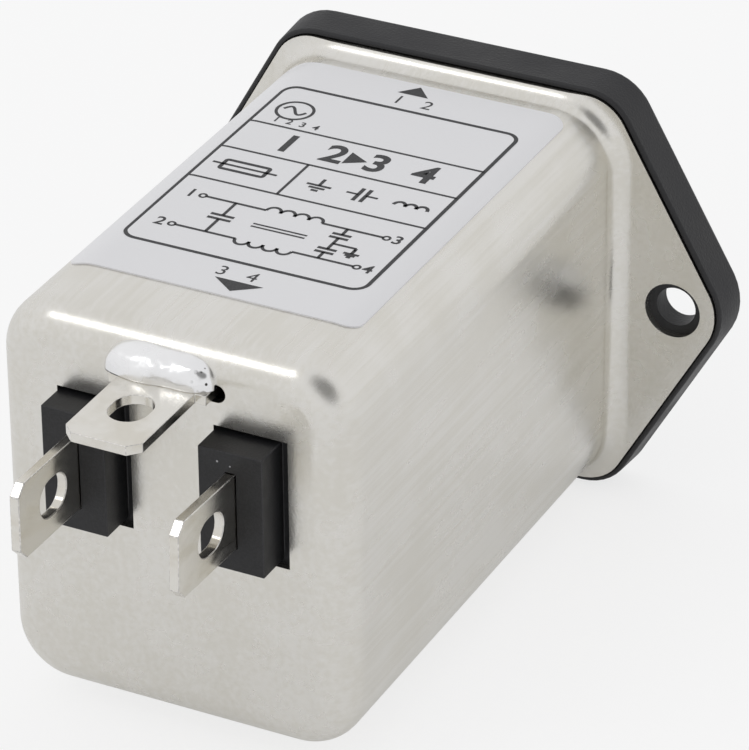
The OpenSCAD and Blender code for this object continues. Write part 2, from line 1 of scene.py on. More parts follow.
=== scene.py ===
# Looks of the mains filter: finishes, the label's print, the solder bead, the
# studio and the camera. Lengths here are in millimetres times mm.
import math

import bmesh
import bpy
from mathutils import Matrix, Vector, noise


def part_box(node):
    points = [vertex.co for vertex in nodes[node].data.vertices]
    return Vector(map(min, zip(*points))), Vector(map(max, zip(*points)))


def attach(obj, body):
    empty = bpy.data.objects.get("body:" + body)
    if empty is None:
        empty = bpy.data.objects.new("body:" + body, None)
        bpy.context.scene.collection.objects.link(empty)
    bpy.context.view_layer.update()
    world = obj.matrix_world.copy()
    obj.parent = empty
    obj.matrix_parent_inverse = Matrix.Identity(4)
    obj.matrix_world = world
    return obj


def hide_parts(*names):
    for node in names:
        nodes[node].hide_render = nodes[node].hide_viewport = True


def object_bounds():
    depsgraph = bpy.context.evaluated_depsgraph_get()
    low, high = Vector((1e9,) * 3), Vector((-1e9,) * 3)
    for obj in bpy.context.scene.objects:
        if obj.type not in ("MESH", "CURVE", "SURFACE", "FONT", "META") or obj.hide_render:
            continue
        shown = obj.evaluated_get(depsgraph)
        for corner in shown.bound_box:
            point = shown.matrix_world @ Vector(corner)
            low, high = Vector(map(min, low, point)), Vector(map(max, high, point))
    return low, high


mm = 0.001
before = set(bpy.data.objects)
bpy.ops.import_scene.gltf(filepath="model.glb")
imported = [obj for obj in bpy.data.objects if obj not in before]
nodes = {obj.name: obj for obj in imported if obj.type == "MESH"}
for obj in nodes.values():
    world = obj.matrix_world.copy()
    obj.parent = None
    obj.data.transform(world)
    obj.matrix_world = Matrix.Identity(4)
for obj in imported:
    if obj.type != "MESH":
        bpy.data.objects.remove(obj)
cadLow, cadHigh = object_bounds()
print("frame loaded:", len(nodes), "nodes")

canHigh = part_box("can")[1]
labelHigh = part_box("label")[1]
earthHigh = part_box("earth_tab")[1]

cameraView = {
    "azimuth": 207.03,
    "elevation": 30.11,
    "roll": -0.59,
    "aim": Vector((-10.93, 34.98, 10.51)) * mm,
    "distance": 373.36 * mm,
    "lens": 240.0,
    "shift": (-0.0003, -0.0073),
    "clip": (0.01, 20),
}


def placeCamera(view):
    az = math.radians(view["azimuth"])
    el = math.radians(view["elevation"])
    back = Vector((math.sin(az) * math.cos(el), -math.cos(az) * math.cos(el), math.sin(el)))
    data = bpy.data.cameras.new("studioCamera")
    data.lens = view["lens"]
    data.shift_x, data.shift_y = view["shift"]
    data.clip_start, data.clip_end = view["clip"]
    cam = bpy.data.objects.new("studioCamera", data)
    turn = back.to_track_quat("Z", "Y").to_matrix().to_4x4()
    roll = Matrix.Rotation(math.radians(view["roll"]), 4, "Z")
    cam.matrix_world = Matrix.Translation(view["aim"] + back * view["distance"]) @ turn @ roll
    bpy.context.scene.collection.objects.link(cam)
    bpy.context.scene.camera = cam


placeCamera(cameraView)
print("camera placed")


def addNode(tree, kind, **values):
    made = tree.nodes.new(kind)
    for key, value in values.items():
        if key in made.inputs:
            made.inputs[key].default_value = value
        else:
            setattr(made, key, value)
    return made


def newGroup(name, inputs, outputs):
    group = bpy.data.node_groups.new(name, "ShaderNodeTree")
    for label, kind, value in inputs:
        socket = group.interface.new_socket(name=label, in_out="INPUT", socket_type=kind)
        if value is not None:
            socket.default_value = value
    for label, kind in outputs:
        group.interface.new_socket(name=label, in_out="OUTPUT", socket_type=kind)
    return group, group.nodes.new("NodeGroupInput"), group.nodes.new("NodeGroupOutput")


def mathNode(tree, operation, first, second=None, third=None, clamp=False):
    made = tree.nodes.new("ShaderNodeMath")
    made.operation = operation
    made.use_clamp = clamp
    for index, value in enumerate((first, second, third)):
        if value is None:
            continue
        if isinstance(value, (int, float)):
            made.inputs[index].default_value = value
        else:
            tree.links.new(value, made.inputs[index])
    return made.outputs[0]


def ramp(tree, value, low, high, fromLow=0.0, fromHigh=1.0):
    made = tree.nodes.new("ShaderNodeMapRange")
    made.interpolation_type = "SMOOTHSTEP"
    made.inputs["From Min"].default_value = fromLow
    made.inputs["From Max"].default_value = fromHigh
    made.inputs["To Min"].default_value = low
    made.inputs["To Max"].default_value = high
    tree.links.new(value, made.inputs["Value"])
    return made.outputs["Result"]


def mixColor(tree, factor, first, second):
    made = tree.nodes.new("ShaderNodeMix")
    made.data_type = "RGBA"
    # a colour mix has its factor at 0 and its two colours at 6 and 7
    for socket, value in ((made.inputs[0], factor), (made.inputs[6], first), (made.inputs[7], second)):
        if isinstance(value, (int, float)):
            socket.default_value = value
        elif isinstance(value, tuple):
            socket.default_value = (*value, 1.0)
        else:
            tree.links.new(value, socket)
    return made.outputs[2]


def makeStreaks():
    # long thin noise; Stretch gives how often it changes along each axis, per metre
    group, start, end = newGroup(
        "streaks",
        [("Place", "NodeSocketVector", None), ("Stretch", "NodeSocketVector", (900, 40, 900)),
         ("Detail", "NodeSocketFloat", 3.0)],
        [("Value", "NodeSocketFloat")],
    )
    links = group.links
    scaled = addNode(group, "ShaderNodeVectorMath", operation="MULTIPLY")
    links.new(start.outputs["Place"], scaled.inputs[0])
    links.new(start.outputs["Stretch"], scaled.inputs[1])
    fog = addNode(group, "ShaderNodeTexNoise", Scale=1.0, Roughness=0.6)
    links.new(scaled.outputs[0], fog.inputs["Vector"])
    links.new(start.outputs["Detail"], fog.inputs["Detail"])
    links.new(fog.outputs["Fac"], end.inputs["Value"])
    return group


speckEdge = 30.0  # how sharply a speck ends


def makeSpecks():
    # scattered dots: each cell may hold one, as large as Size of the cell
    group, start, end = newGroup(
        "specks",
        [("Place", "NodeSocketVector", None), ("Per Metre", "NodeSocketFloat", 900.0),
         ("Size", "NodeSocketFloat", 0.16), ("Amount", "NodeSocketFloat", 0.1)],
        [("Mask", "NodeSocketFloat")],
    )
    links = group.links
    cells = addNode(group, "ShaderNodeTexVoronoi")
    links.new(start.outputs["Place"], cells.inputs["Vector"])
    links.new(start.outputs["Per Metre"], cells.inputs["Scale"])
    split = addNode(group, "ShaderNodeSeparateColor")
    links.new(cells.outputs["Color"], split.inputs["Color"])
    radius = mathNode(group, "MULTIPLY", start.outputs["Size"], split.outputs["Green"])
    near = mathNode(group, "SUBTRACT", radius, cells.outputs["Distance"])
    dot = mathNode(group, "MULTIPLY", near, speckEdge, clamp=True)
    chosen = mathNode(group, "LESS_THAN", split.outputs["Red"], start.outputs["Amount"])
    mask = mathNode(group, "MULTIPLY", dot, chosen)
    links.new(mask, end.inputs["Mask"])
    return group


cloudShare = 0.03  # the cloud's scale as a share of the fine grain's


def makeGrain():
    # Value is a fine even noise, and Cloud a broad one
    group, start, end = newGroup(
        "fineGrain",
        [("Place", "NodeSocketVector", None), ("Per Metre", "NodeSocketFloat", 4000.0)],
        [("Value", "NodeSocketFloat"), ("Cloud", "NodeSocketFloat")],
    )
    links = group.links
    fine = addNode(group, "ShaderNodeTexNoise", Detail=2.0, Roughness=0.6)
    links.new(start.outputs["Place"], fine.inputs["Vector"])
    links.new(start.outputs["Per Metre"], fine.inputs["Scale"])
    cloudScale = mathNode(group, "MULTIPLY", start.outputs["Per Metre"], cloudShare)
    cloud = addNode(group, "ShaderNodeTexNoise", Detail=4.0, Roughness=0.55)
    links.new(start.outputs["Place"], cloud.inputs["Vector"])
    links.new(cloudScale, cloud.inputs["Scale"])
    links.new(fine.outputs["Fac"], end.inputs["Value"])
    links.new(cloud.outputs["Fac"], end.inputs["Cloud"])
    return group


streakGroup = makeStreaks()
speckGroup = makeSpecks()
grainGroup = makeGrain()
print("shared effects made")


def placeGroup(tree, group, place, **values):
    made = tree.nodes.new("ShaderNodeGroup")
    made.node_tree = group
    tree.links.new(place, made.inputs["Place"])
    for key, value in values.items():
        made.inputs[key.replace("_", " ")].default_value = value
    return made


class Finish:
    # a material with its shader and Object coordinates ready
    def __init__(self, name, **values):
        self.material = bpy.data.materials.new(name)
        self.material.use_nodes = True
        self.tree = self.material.node_tree
        self.tree.nodes.clear()
        output = self.tree.nodes.new("ShaderNodeOutputMaterial")
        self.shader = self.tree.nodes.new("ShaderNodeBsdfPrincipled")
        self.tree.links.new(self.shader.outputs[0], output.inputs["Surface"])
        for key, value in values.items():
            self.shader.inputs[key.replace("_", " ")].default_value = value
        self.place = self.tree.nodes.new("ShaderNodeTexCoord").outputs["Object"]

    def link(self, output, name):
        self.tree.links.new(output, self.shader.inputs[name])

    def bump(self, height, strength, distance, below=None):
        made = self.tree.nodes.new("ShaderNodeBump")
        made.inputs["Strength"].default_value = strength
        made.inputs["Distance"].default_value = distance
        self.tree.links.new(height, made.inputs["Height"])
        if below is not None:
            self.tree.links.new(below, made.inputs["Normal"])
        self.link(made.outputs["Normal"], "Normal")
        return made.outputs["Normal"]


# noise stays near one half, so these stretches of it are spread over a ramp
middle = (0.35, 0.65)
steepMiddle = (0.38, 0.62)
narrowMiddle = (0.4, 0.6)

tinPlate = {
    "color": (0.72, 0.70, 0.645),
    "paler": (0.77, 0.755, 0.715),
    "roughness": (0.23, 0.29),
    "brushStretch": (1900, 45, 1900),
    "broadStretch": (420, 14, 420),
    "grainPerMetre": 5200,
    "grainBump": (0.3, 0.02 * mm),
    "brushBump": (0.1, 0.01 * mm),
}


def evenMix(tree, first, second):
    # half of each of two noises
    return mathNode(tree, "MULTIPLY_ADD", first, 0.5, mathNode(tree, "MULTIPLY", second, 0.5))


def makeTinPlate():
    finish = Finish("tinPlate", Metallic=1.0)
    tree = finish.tree
    brush = placeGroup(tree, streakGroup, finish.place, Stretch=tinPlate["brushStretch"], Detail=3.0)
    broad = placeGroup(tree, streakGroup, finish.place, Stretch=tinPlate["broadStretch"], Detail=2.0)
    grain = placeGroup(tree, grainGroup, finish.place, Per_Metre=tinPlate["grainPerMetre"])
    tone = ramp(tree, evenMix(tree, brush.outputs[0], grain.outputs["Cloud"]), 0, 1, *steepMiddle)
    finish.link(mixColor(tree, tone, tinPlate["color"], tinPlate["paler"]), "Base Color")
    rough = evenMix(tree, broad.outputs[0], grain.outputs["Cloud"])
    finish.link(ramp(tree, rough, *tinPlate["roughness"], *middle), "Roughness")
    fine = finish.bump(grain.outputs["Value"], *tinPlate["grainBump"])
    finish.bump(brush.outputs[0], *tinPlate["brushBump"], fine)
    return finish.material


blackMoulding = {
    "color": (0.009, 0.009, 0.010),
    "paler": (0.018, 0.018, 0.020),
    "dust": (0.5, 0.5, 0.52),
    "roughness": (0.42, 0.6),
    "bump": (0.8, 0.06 * mm),
}


def makeBlackMoulding():
    finish = Finish("blackMoulding", Specular_IOR_Level=0.45)
    tree = finish.tree
    grain = placeGroup(tree, grainGroup, finish.place, Per_Metre=5000)
    dust = placeGroup(tree, speckGroup, finish.place, Per_Metre=900, Size=0.16, Amount=0.12)
    tone = ramp(tree, grain.outputs["Cloud"], 0, 1, *narrowMiddle)
    base = mixColor(tree, tone, blackMoulding["color"], blackMoulding["paler"])
    finish.link(mixColor(tree, dust.outputs["Mask"], base, blackMoulding["dust"]), "Base Color")
    finish.link(ramp(tree, grain.outputs["Cloud"], *blackMoulding["roughness"], *middle), "Roughness")
    finish.bump(grain.outputs["Value"], *blackMoulding["bump"])
    return finish.material


postMoulding = {
    "color": (0.011, 0.011, 0.012),
    "palerTimes": 1.5,
    "dust": (0.42, 0.42, 0.44),
    "roughness": (0.42, 0.55),
    # how much lighter the bevelled edges are: a painted highlight
    "edgeHighlightLift": 1.8,
}


# lift above one makes a lighter copy of this black for bevelled edges, a painted highlight
def makePostMoulding(name, lift):
    finish = Finish(name, Specular_IOR_Level=0.4)
    tree = finish.tree
    grain = placeGroup(tree, grainGroup, finish.place, Per_Metre=6500)
    dust = placeGroup(tree, speckGroup, finish.place, Per_Metre=900, Size=0.11, Amount=0.08)
    low = tuple(lift * c for c in postMoulding["color"])
    high = tuple(postMoulding["palerTimes"] * c for c in low)
    base = mixColor(tree, ramp(tree, grain.outputs["Value"], 0, 1, *middle), low, high)
    finish.link(mixColor(tree, dust.outputs["Mask"], base, postMoulding["dust"]), "Base Color")
    finish.link(ramp(tree, grain.outputs["Cloud"], *postMoulding["roughness"], *middle), "Roughness")
    finish.bump(grain.outputs["Value"], 0.5, 0.03 * mm)
    return finish.material


bladePlate = {
    "color": (0.70, 0.67, 0.60),
    "paler": (0.78, 0.76, 0.71),
    "spot": (0.25, 0.22, 0.18),
    "roughness": (0.14, 0.26),
}


def makeBladePlate():
    finish = Finish("bladePlate", Metallic=1.0)
    tree = finish.tree
    smear = placeGroup(tree, streakGroup, finish.place, Stretch=(260, 180, 420), Detail=3.0)
    grain = placeGroup(tree, grainGroup, finish.place, Per_Metre=7000)
    spots = placeGroup(tree, speckGroup, finish.place, Per_Metre=1100, Size=0.12, Amount=0.04)
    tone = ramp(tree, smear.outputs[0], 0, 1, *steepMiddle)
    base = mixColor(tree, tone, bladePlate["color"], bladePlate["paler"])
    finish.link(mixColor(tree, spots.outputs["Mask"], base, bladePlate["spot"]), "Base Color")
    finish.link(ramp(tree, smear.outputs[0], *bladePlate["roughness"], *middle), "Roughness")
    finish.bump(grain.outputs["Value"], 0.1, 0.01 * mm)
    return finish.material


cutEdge = {"pit": (0.10, 0.09, 0.08), "darkerTimes": 0.7, "roughness": (0.28, 0.44)}


# the colour given is paler than the plate beside it: a painted highlight along the bevelled edge; the dark
# pits are real
def makeCutEdgeHighlight(name, color, darkAmount):
    finish = Finish(name, Metallic=1.0)
    tree = finish.tree
    grain = placeGroup(tree, grainGroup, finish.place, Per_Metre=3800)
    spots = placeGroup(tree, speckGroup, finish.place, Per_Metre=2600, Size=0.34, Amount=darkAmount)
    darker = tuple(cutEdge["darkerTimes"] * c for c in color)
    base = mixColor(tree, ramp(tree, grain.outputs["Value"], 0, 1, 0.42, 0.62), darker, color)
    finish.link(mixColor(tree, spots.outputs["Mask"], base, cutEdge["pit"]), "Base Color")
    finish.link(ramp(tree, grain.outputs["Value"], *cutEdge["roughness"], *middle), "Roughness")
    finish.bump(grain.outputs["Value"], 0.3, 0.02 * mm)
    return finish.material


solder = {
    "color": (0.82, 0.82, 0.83),
    "paler": (0.93, 0.93, 0.93),
    "burnt": (0.05, 0.045, 0.04),
    "burntReach": (-3.9 * mm, -2.6 * mm),
    "roughness": (0.12, 0.3),
    "bump": (0.25, 0.15 * mm),
}


def makeSolderTin():
    finish = Finish("solderTin", Metallic=1.0)
    tree = finish.tree
    grain = placeGroup(tree, grainGroup, finish.place, Per_Metre=3000)
    split = tree.nodes.new("ShaderNodeSeparateXYZ")
    tree.links.new(finish.place, split.inputs[0])
    # burnt flux gathers at one end of the bead
    burnt = ramp(tree, split.outputs["X"], 1, 0, *solder["burntReach"])
    flux = placeGroup(tree, speckGroup, finish.place, Per_Metre=2300, Size=0.5, Amount=0.5)
    dark = mathNode(tree, "MULTIPLY", burnt, flux.outputs["Mask"])
    tone = ramp(tree, grain.outputs["Cloud"], 0, 1, *middle)
    base = mixColor(tree, tone, solder["color"], solder["paler"])
    finish.link(mixColor(tree, dark, base, solder["burnt"]), "Base Color")
    finish.link(ramp(tree, grain.outputs["Cloud"], *solder["roughness"], *middle), "Roughness")
    finish.bump(grain.outputs["Cloud"], *solder["bump"])
    return finish.material


film = {"color": (0.77, 0.77, 0.785), "paler": (0.81, 0.81, 0.82), "roughness": (0.34, 0.46)}
ink = {"color": (0.018, 0.018, 0.02), "paler": (0.035, 0.035, 0.038), "roughness": (0.4, 0.5)}


def makeLabelFilm():
    finish = Finish("labelFilm", Specular_IOR_Level=0.5, Coat_Weight=0.25, Coat_Roughness=0.15)
    tree = finish.tree
    grain = placeGroup(tree, grainGroup, finish.place, Per_Metre=2500)
    finish.link(mixColor(tree, grain.outputs["Cloud"], film["color"], film["paler"]), "Base Color")
    finish.link(ramp(tree, grain.outputs["Cloud"], *film["roughness"], *middle), "Roughness")
    finish.bump(grain.outputs["Cloud"], 0.05, 0.02 * mm)
    return finish.material


def makeInk():
    finish = Finish("labelInk", Specular_IOR_Level=0.4)
    tree = finish.tree
    grain = placeGroup(tree, grainGroup, finish.place, Per_Metre=9000)
    tone = ramp(tree, grain.outputs["Value"], 0, 1, *narrowMiddle)
    finish.link(mixColor(tree, tone, ink["color"], ink["paler"]), "Base Color")
    finish.link(ramp(tree, grain.outputs["Cloud"], *ink["roughness"]), "Roughness")
    return finish.material


def makePlain(name, dark, light, metal, rough, perMetre, bumpHeight):
    # a finish of two close tones with matching bump
    finish = Finish(name, Metallic=metal)
    tree = finish.tree
    grain = placeGroup(tree, grainGroup, finish.place, Per_Metre=perMetre)
    tone = ramp(tree, grain.outputs["Value"], 0, 1, *middle)
    finish.link(mixColor(tree, tone, dark, light), "Base Color")
    finish.link(ramp(tree, grain.outputs["Cloud"], *rough, *middle), "Roughness")
    finish.bump(grain.outputs["Value"], 0.3, bumpHeight)
    return finish.material


wireCover = {
    "green": (0.03, 0.16, 0.03),
    "paler": (0.05, 0.22, 0.04),
    "stripe": (0.62, 0.52, 0.04),
    "stripeHalf": 0.3 * mm,
}


def makeWireCover():
    # green insulation with a yellow stripe along it
    finish = Finish("wireCover", Roughness=0.35)
    tree = finish.tree
    split = tree.nodes.new("ShaderNodeSeparateXYZ")
    tree.links.new(finish.place, split.inputs[0])
    aside = mathNode(tree, "ABSOLUTE", split.outputs["X"])
    stripe = mathNode(tree, "LESS_THAN", aside, wireCover["stripeHalf"])
    grain = placeGroup(tree, grainGroup, finish.place, Per_Metre=3000)
    green = mixColor(tree, grain.outputs["Cloud"], wireCover["green"], wireCover["paler"])
    finish.link(mixColor(tree, stripe, green, wireCover["stripe"]), "Base Color")
    finish.bump(grain.outputs["Cloud"], 0.2, 0.03 * mm)
    return finish.material


plate = makeTinPlate()
# the can's bevelled edges take a paler tin colour: a painted highlight
flangeEdgeHighlight = makeCutEdgeHighlight("flangeEdgeHighlight", (0.86, 0.83, 0.76), 0.02)
blackPlastic = makeBlackMoulding()
postPlastic = makePostMoulding("postMoulding", 1.0)
# the posts' bevelled edges take a lighter copy of their black: a painted highlight
postEdgeHighlight = makePostMoulding("postEdgeHighlight", postMoulding["edgeHighlightLift"])
bladeMetal = makeBladePlate()
# the blades' bevelled edges take a paler plate colour: a painted highlight
bladeEdgeHighlight = makeCutEdgeHighlight("bladeEdgeHighlight", (0.84, 0.82, 0.78), 0.12)
solderTin = makeSolderTin()
labelFilm = makeLabelFilm()
labelInk = makeInk()
pinMetal = makePlain("pinPlate", (0.66, 0.62, 0.53), (0.74, 0.70, 0.62), 1.0, (0.16, 0.26), 4000, 0.01 * mm)
# name, dark tone, light tone, metal, roughness, grain per metre, height of its bump
innerLooks = {
    "insulating_liner": (
        "linerFilm", (0.50, 0.46, 0.33), (0.58, 0.54, 0.40), 0.0, (0.3, 0.42), 900, 0.01 * mm),
    "x_capacitor": (
        "amberBox", (0.52, 0.34, 0.07), (0.60, 0.41, 0.10), 0.0, (0.4, 0.52), 4000, 0.02 * mm),
    "line_y_capacitor": (
        "blueDip", (0.04, 0.12, 0.36), (0.06, 0.17, 0.45), 0.0, (0.2, 0.32), 1500, 0.04 * mm),
    "discharge_resistor": (
        "lacquer", (0.12, 0.26, 0.38), (0.16, 0.32, 0.44), 0.0, (0.25, 0.35), 2500, 0.02 * mm),
    "choke_core": (
        "coatedFerrite", (0.035, 0.075, 0.05), (0.055, 0.11, 0.075), 0.0, (0.5, 0.65), 3500, 0.04 * mm),
    "core_divider": (
        "pressedBoard", (0.44, 0.37, 0.22), (0.56, 0.49, 0.31), 0.0, (0.7, 0.85), 2600, 0.04 * mm),
    "line_winding": (
        "enamelledCopper", (0.46, 0.16, 0.045), (0.60, 0.25, 0.08), 0.85, (0.22, 0.34), 1800, 0.01 * mm),
}
innerFinishes = {node: makePlain(*look) for node, look in innerLooks.items()}
innerFinishes["earth_wire"] = makeWireCover()
innerFinishes["neutral_y_capacitor"] = innerFinishes["line_y_capacitor"]
innerFinishes["neutral_winding"] = innerFinishes["line_winding"]
print("finishes made")


dressing = {
    "merge": 0.0005 * mm,
    "degenerate": 0.0002 * mm,
    "flatUnder": 0.3,
    "smoothUnder": 28,
    "edgeOver": 40,
    "flatWeight": 80,
}
brokenEdges = {"sheet": 0.07 * mm, "bezel": 0.06 * mm, "post": 0.07 * mm, "blade": 0.13 * mm, "pin": 0.2 * mm}


def dressed(node, name, finish, edgeFinish=None, edge=0.0, segments=2):
    # a merged copy of a CAD node with smooth bends and broken edges; angles in degrees
    mesh = nodes[node].data.copy()
    mesh.name = name
    work = bmesh.new()
    work.from_mesh(mesh)
    bmesh.ops.remove_doubles(work, verts=work.verts, dist=dressing["merge"])
    bmesh.ops.dissolve_degenerate(work, edges=work.edges, dist=dressing["degenerate"])
    flatUnder = math.radians(dressing["flatUnder"])
    bmesh.ops.dissolve_limit(work, angle_limit=flatUnder, verts=work.verts, edges=work.edges)
    for face in work.faces:
        face.smooth = True
        face.material_index = 0
    smoothUnder = math.radians(dressing["smoothUnder"])
    for meeting in work.edges:
        meeting.smooth = len(meeting.link_faces) == 2 and meeting.calc_face_angle(0) < smoothUnder
    work.to_mesh(mesh)
    work.free()
    mesh.materials.clear()
    mesh.materials.append(finish)
    piece = bpy.data.objects.new(name, mesh)
    bpy.context.scene.collection.objects.link(piece)
    if edge > 0:
        bevel = piece.modifiers.new("brokenEdge", "BEVEL")
        bevel.width = edge
        bevel.segments = segments
        bevel.limit_method = "ANGLE"
        bevel.angle_limit = math.radians(dressing["edgeOver"])
        bevel.miter_outer = "MITER_ARC"
        bevel.use_clamp_overlap = True
        # the edge finish goes on the bevel; the paler ones given below are a painted highlight
        if edgeFinish is not None:
            mesh.materials.append(edgeFinish)
            bevel.material = 1
    weights = piece.modifiers.new("flatFaces", "WEIGHTED_NORMAL")
    weights.keep_sharp = True
    weights.weight = dressing["flatWeight"]
    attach(piece, "root")
    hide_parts(node)


dressed("can", "canShell", plate, flangeEdgeHighlight, brokenEdges["sheet"])
dressed("inlet_moulding", "inletBody", blackPlastic, None, brokenEdges["bezel"])
dressed("terminal_carrier", "posts", postPlastic, postEdgeHighlight, brokenEdges["post"])
for node, name in (("line_tab", "lineBlade"), ("neutral_tab", "neutralBlade"), ("earth_tab", "earthBlade")):
    dressed(node, name, bladeMetal, bladeEdgeHighlight, brokenEdges["blade"], 3)
for node, name in (("line_pin", "linePin"), ("neutral_pin", "neutralPin"), ("earth_pin", "earthPin")):
    dressed(node, name, pinMetal, None, brokenEdges["pin"], 3)
dressed("label", "labelSheet", labelFilm)
for node, material in innerFinishes.items():
    mesh = nodes[node].data
    for index in range(max(1, len(mesh.materials))):
        if index < len(mesh.materials):
            mesh.materials[index] = material
        else:
            mesh.materials.append(material)
print("CAD nodes dressed")


# the solder bead is a lumpy fillet over the end wall's bend
bead = {
    "left": 4.9 * mm,
    "right": -4.3 * mm,
    "wallFace": canHigh.y,
    "bendStart": 13.9 * mm,
    "bendRadius": 2.9 * mm,
    "foot": 1.5 * mm,
    "head": 15.8 * mm,
    "around": 40,
    "along": 96,
    "thinnest": 0.02,
    "sway": ((0.10, 2.3, 0.6), (0.05, 7.1, 0.0)),
    "lumps": ((900, 0.10 * mm), (2400, 0.035 * mm)),
    "roundness": 0.86,
    "buried": 0.25 * mm,
}


def bendDepth(height):
    rise = max(0.0, height - bead["bendStart"])
    r = bead["bendRadius"]
    return r - math.sqrt(max(0.0, r * r - rise * rise))


def makeSolderBead():
    work = bmesh.new()
    base = earthHigh.z
    middle = (bead["left"] + bead["right"]) / 2
    half = (bead["left"] - bead["right"]) / 2
    rows = []
    for i in range(bead["along"] + 1):
        s = -1 + 2 * i / bead["along"]
        # ends close quickly, so the bead is nearly the same along its middle
        end = (1 - abs(s) ** 5) ** 0.5 if abs(s) < 1 else 0.0
        end = max(end, bead["thinnest"])
        sway = sum(size * math.sin(rate * s + phase) for size, rate, phase in bead["sway"])
        up = (bead["head"] - base) * (0.97 + 0.15 * sway) * end
        out = bead["foot"] * (1 + sway) * end
        lean = bendDepth(base + up) * end
        x = middle + half * s
        row = []
        for j in range(bead["around"] + 1):
            t = j / bead["around"] * math.pi / 2
            y = bead["wallFace"] - lean + (out + lean) * math.cos(t) ** bead["roundness"]
            z = base + up * math.sin(t) ** bead["roundness"]
            p = Vector((x, y, z))
            lump = sum(noise.noise(p * rate) * size for rate, size in bead["lumps"])
            edgeFade = math.sin(2 * t) ** 0.5 * min(1.0, end * 1.5)
            outward = Vector((0, math.cos(t), math.sin(t)))
            row.append(work.verts.new(p + outward * lump * edgeFade))
        rows.append(row)
    for a, b in zip(rows, rows[1:]):
        for j in range(bead["around"]):
            work.faces.new((a[j], b[j], b[j + 1], a[j + 1]))
    # closed against the tab and inside the sheet
    backs = []
    for row in rows:
        foot = row[0].co
        head = row[-1].co
        inside = work.verts.new((foot.x, min(foot.y, head.y) - bead["buried"], foot.z))
        above = work.verts.new((head.x, head.y - bead["buried"], head.z))
        backs.append((inside, above))
    for (a, b), (inA, upA), (inB, upB) in zip(zip(rows, rows[1:]), backs, backs[1:]):
        work.faces.new((a[0], inA, inB, b[0]))
        work.faces.new((inA, upA, upB, inB))
        work.faces.new((upA, a[-1], b[-1], upB))
    for row, (inside, above) in ((rows[0], backs[0]), (rows[-1], backs[-1])):
        work.faces.new([*row, above, inside])
    bmesh.ops.recalc_face_normals(work, faces=work.faces)
    for face in work.faces:
        face.smooth = True
    mesh = bpy.data.meshes.new("solderBead")
    work.to_mesh(mesh)
    work.free()
    mesh.materials.append(solderTin)
    piece = bpy.data.objects.new("solderBead", mesh)
    bpy.context.scene.collection.objects.link(piece)
    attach(piece, "root")
    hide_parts("solder_joint")


makeSolderBead()
print("solder bead made")


# the label's print is generic circuit symbols and plain numbers; u runs to its
# reader's right and v up it, both in millimetres, with v = 0 at the can's end wall
labelPrint = {
    "frame": (-10.62, 12.43, 9.91, 40.1),
    "corner": 1.2,
    "rules": (33.42, 28.63, 23.26),
    "divider": -2.9,
    "line": 0.24,
    "symbolLine": 0.26,
    "heavy": 0.34,
    "lift": 0.012,
    "flatHalf": 9.9,
    "bendRadius": 5.02,
}


def labelHeight(x):
    # the label lies flat, then follows the can's long edges down
    r = labelPrint["bendRadius"] * mm
    past = max(0.0, abs(x) - labelPrint["flatHalf"] * mm)
    return labelHigh.z - r + math.sqrt(max(0.0, r * r - past * past)) + labelPrint["lift"] * mm


def onLabel(u, v):
    x = -u * mm
    return Vector((x, canHigh.y - v * mm, labelHeight(x)))


def arc(cu, cv, r, start, stop, steps=16):
    turns = [math.radians(start + (stop - start) * k / steps) for k in range(steps + 1)]
    return [(cu + r * math.cos(turn), cv + r * math.sin(turn)) for turn in turns]


def line(u0, v0, u1, v1, steps=1):
    return [(u0 + (u1 - u0) * k / steps, v0 + (v1 - v0) * k / steps) for k in range(steps + 1)]


def roundedBox(u0, v0, u1, v1, r):
    return (arc(u1 - r, v0 + r, r, -90, 0, 8) + arc(u1 - r, v1 - r, r, 0, 90, 8)
            + arc(u0 + r, v1 - r, r, 90, 180, 8) + arc(u0 + r, v0 + r, r, 180, 270, 8) + [(u1 - r, v0)])


def coilHumps(u0, v, pitch, count, up):
    path = []
    for k in range(count):
        turn = arc(u0 + (k + 0.5) * pitch, v, pitch / 2, 180, 0, 12)
        path += [(u, v + up * (w - v)) for u, w in turn]
    return path


def symbolStrokes():
    # each stroke is its points and its width
    u0, v0, u1, v1 = labelPrint["frame"]
    thin = labelPrint["line"]
    medium = labelPrint["symbolLine"]
    heavy = labelPrint["heavy"]
    strokes = [(roundedBox(u0, v0, u1, v1, labelPrint["corner"]), heavy)]
    for v in labelPrint["rules"]:
        strokes.append((line(u0, v, u1, v, 40), thin))
    divider = labelPrint["divider"]
    strokes.append((line(divider, labelPrint["rules"][2], divider, labelPrint["rules"][1]), thin))
    # first row: a wave in a ring
    strokes.append((arc(-8.1, 36.3, 1.5, 0, 360, 40), medium))
    wave = [(-9.1 + 2.0 * k / 24, 36.3 + 0.55 * math.sin(2 * math.pi * k / 24)) for k in range(25)]
    strokes.append((wave, medium))
    # third row, left cell: a fuse; right cell: earth, capacitor and coil
    strokes.append((roundedBox(-9.0, 25.2, -5.2, 26.7, 0.2), heavy))
    strokes.append((line(-9.9, 25.95, -4.3, 25.95), medium))
    strokes += earthSymbol(-0.6, 25.9)
    for du in (-0.32, 0.32):
        strokes.append((line(3.1 + du, 24.9, 3.1 + du, 27.0), heavy))
        strokes.append((line(3.1 + du, 25.95, 3.1 + 4.2 * du, 25.95), thin))
    strokes.append((coilHumps(5.9, 25.7, 0.95, 3, 1.2), 0.3))
    return strokes + circuitStrokes()


def earthSymbol(u, v, size=1.0):
    strokes = [(line(u, v + 1.1 * size, u, v), 0.28)]
    for k, half in enumerate((1.05, 0.68, 0.3)):
        w = v - 0.42 * k * size
        strokes.append((line(u - half * size, w, u + half * size, w), 0.28))
    return strokes


